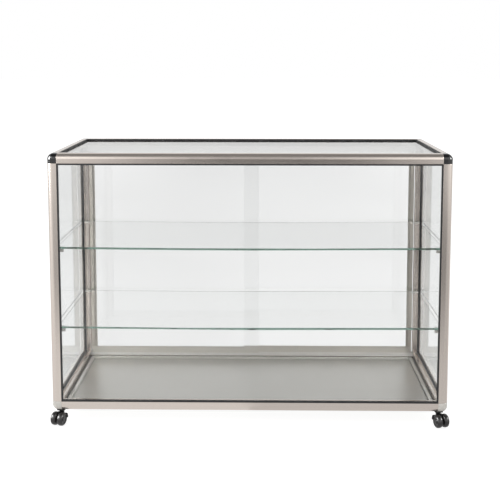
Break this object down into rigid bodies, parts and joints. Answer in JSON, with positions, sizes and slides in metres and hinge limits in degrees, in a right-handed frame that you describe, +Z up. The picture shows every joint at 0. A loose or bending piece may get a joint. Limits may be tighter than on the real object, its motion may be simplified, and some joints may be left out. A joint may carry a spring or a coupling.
{
  "type": "display showcase",
  "caption": "Full-vision counter showcase: a metal frame with glass top, front and sides, glass shelves, sliding rear glass doors and swivel casters.",
  "frame": {"origin": "on the floor under the middle of the case", "axes": "+X to the right along the width, +Y from the glass front to the sliding doors at the rear, +Z up"},
  "size_m": [1.229, 0.5462, 0.847],
  "materials": {
    "frame_metal": "satin champagne anodised",
    "corner_black": "gloss",
    "corner_silver": "satin silver",
    "glass": "clear float glass, polished edges",
    "gasket": "matte",
    "deck_metal": "brushed satin",
    "trim_metal": "satin",
    "clip_metal": "polished",
    "track_metal": "satin",
    "door_metal": "satin champagne anodised",
    "roller_plastic": "matte",
    "plate_metal": "black satin",
    "steel": "zinc plated",
    "caster_plastic": "satin black",
    "wheel_plastic": "satin dark grey"
  },
  "bodies": {
    "case": {"front_left_post": "frame_metal", "front_right_post": "frame_metal", "rear_left_post": "frame_metal", "rear_right_post": "frame_metal", "front_bottom_rail": "frame_metal", "rear_sill": "frame_metal", "left_bottom_rail": "frame_metal", "right_bottom_rail": "frame_metal", "front_top_rail": "frame_metal", "rear_top_rail": "frame_metal", "left_top_rail": "frame_metal", "right_top_rail": "frame_metal", "front_left_top_corner": "corner_black", "front_right_top_corner": "corner_black", "rear_left_top_corner": "corner_black", "rear_right_top_corner": "corner_black", "front_left_bottom_corner": "corner_silver", "front_right_bottom_corner": "corner_silver", "rear_left_bottom_corner": "corner_silver", "rear_right_bottom_corner": "corner_silver", "front_glass": "glass", "left_glass": "glass", "right_glass": "glass", "top_glass": "glass", "front_gasket": "gasket", "left_gasket": "gasket", "right_gasket": "gasket", "top_gasket": "gasket", "deck_panel": "deck_metal", "deck_trim": "trim_metal", "bottom_track": "track_metal", "top_track": "track_metal", "caster_plates": "plate_metal", "plate_screws": "steel"},
    "left_door": {"left_door_glass": "glass", "left_door_shoe": "door_metal", "left_door_pull": "door_metal"},
    "right_door": {"right_door_glass": "glass", "right_door_shoe": "door_metal", "right_door_pull": "door_metal"},
    "upper_shelf": {"upper_shelf": "glass", "upper_shelf_clips": "clip_metal"},
    "lower_shelf": {"lower_shelf": "glass", "lower_shelf_clips": "clip_metal"},
    "left_door_left_roller": {"left_door_left_roller": "roller_plastic"},
    "left_door_right_roller": {"left_door_right_roller": "roller_plastic"},
    "right_door_left_roller": {"right_door_left_roller": "roller_plastic"},
    "right_door_right_roller": {"right_door_right_roller": "roller_plastic"},
    "front_left_caster": {"front_left_caster_housing": "caster_plastic", "front_left_caster_axle": "steel"},
    "front_left_wheels": {"front_left_caster_wheels": "wheel_plastic"},
    "front_right_caster": {"front_right_caster_housing": "caster_plastic", "front_right_caster_axle": "steel"},
    "front_right_wheels": {"front_right_caster_wheels": "wheel_plastic"},
    "rear_left_caster": {"rear_left_caster_housing": "caster_plastic", "rear_left_caster_axle": "steel"},
    "rear_left_wheels": {"rear_left_caster_wheels": "wheel_plastic"},
    "rear_right_caster": {"rear_right_caster_housing": "caster_plastic", "rear_right_caster_axle": "steel"},
    "rear_right_wheels": {"rear_right_caster_wheels": "wheel_plastic"}
  },
  "joints": [
    {"name": "left_door_slide", "type": "slide", "parent": "case", "child": "left_door", "axis": [1, 0, 0], "range_m": [0, 0.54]},
    {"name": "right_door_slide", "type": "slide", "parent": "case", "child": "right_door", "axis": [1, 0, 0], "range_m": [-0.54, 0]},
    {"name": "upper_shelf_height", "type": "slide", "parent": "case", "child": "upper_shelf", "axis": [0, 0, 1], "range_m": [-0.1, 0.1]},
    {"name": "lower_shelf_height", "type": "slide", "parent": "case", "child": "lower_shelf", "axis": [0, 0, 1], "range_m": [-0.1, 0.1]},
    {"name": "left_door_left_roller_spin", "type": "hinge", "parent": "left_door", "child": "left_door_left_roller", "pos_m": [-0.516, 0.2344, 0.0682], "axis": [0, 1, 0], "continuous": true},
    {"name": "left_door_right_roller_spin", "type": "hinge", "parent": "left_door", "child": "left_door_right_roller", "pos_m": [-0.033, 0.2344, 0.0682], "axis": [0, 1, 0], "continuous": true},
    {"name": "right_door_left_roller_spin", "type": "hinge", "parent": "right_door", "child": "right_door_left_roller", "pos_m": [0.033, 0.2456, 0.0682], "axis": [0, 1, 0], "continuous": true},
    {"name": "right_door_right_roller_spin", "type": "hinge", "parent": "right_door", "child": "right_door_right_roller", "pos_m": [0.516, 0.2456, 0.0682], "axis": [0, 1, 0], "continuous": true},
    {"name": "front_left_caster_swivel", "type": "hinge", "parent": "case", "child": "front_left_caster", "pos_m": [-0.585, -0.23, 0.037], "axis": [0, 0, 1], "continuous": true},
    {"name": "front_left_wheels_spin", "type": "hinge", "parent": "front_left_caster", "child": "front_left_wheels", "pos_m": [-0.59085, -0.24913, 0.0205], "axis": [0.9563, -0.2924, 0], "continuous": true},
    {"name": "front_right_caster_swivel", "type": "hinge", "parent": "case", "child": "front_right_caster", "pos_m": [0.585, -0.23, 0.037], "axis": [0, 0, 1], "continuous": true},
    {"name": "front_right_wheels_spin", "type": "hinge", "parent": "front_right_caster", "child": "front_right_wheels", "pos_m": [0.59085, -0.24913, 0.0205], "axis": [0.9563, 0.2924, 0], "continuous": true},
    {"name": "rear_left_caster_swivel", "type": "hinge", "parent": "case", "child": "rear_left_caster", "pos_m": [-0.585, 0.23, 0.037], "axis": [0, 0, 1], "continuous": true},
    {"name": "rear_left_wheels_spin", "type": "hinge", "parent": "rear_left_caster", "child": "rear_left_wheels", "pos_m": [-0.59085, 0.24913, 0.0205], "axis": [-0.9563, -0.2924, 0], "continuous": true},
    {"name": "rear_right_caster_swivel", "type": "hinge", "parent": "case", "child": "rear_right_caster", "pos_m": [0.585, 0.23, 0.037], "axis": [0, 0, 1], "continuous": true},
    {"name": "rear_right_wheels_spin", "type": "hinge", "parent": "rear_right_caster", "child": "rear_right_wheels", "pos_m": [0.59085, 0.24913, 0.0205], "axis": [-0.9563, 0.2924, 0], "continuous": true}
  ],
  "couplings": [
    {"joint": "left_door_left_roller_spin", "follows": "left_door_slide", "rad_per_m": 238.1},
    {"joint": "left_door_right_roller_spin", "follows": "left_door_slide", "rad_per_m": 238.1},
    {"joint": "right_door_left_roller_spin", "follows": "right_door_slide", "rad_per_m": 238.1},
    {"joint": "right_door_right_roller_spin", "follows": "right_door_slide", "rad_per_m": 238.1}
  ]
}
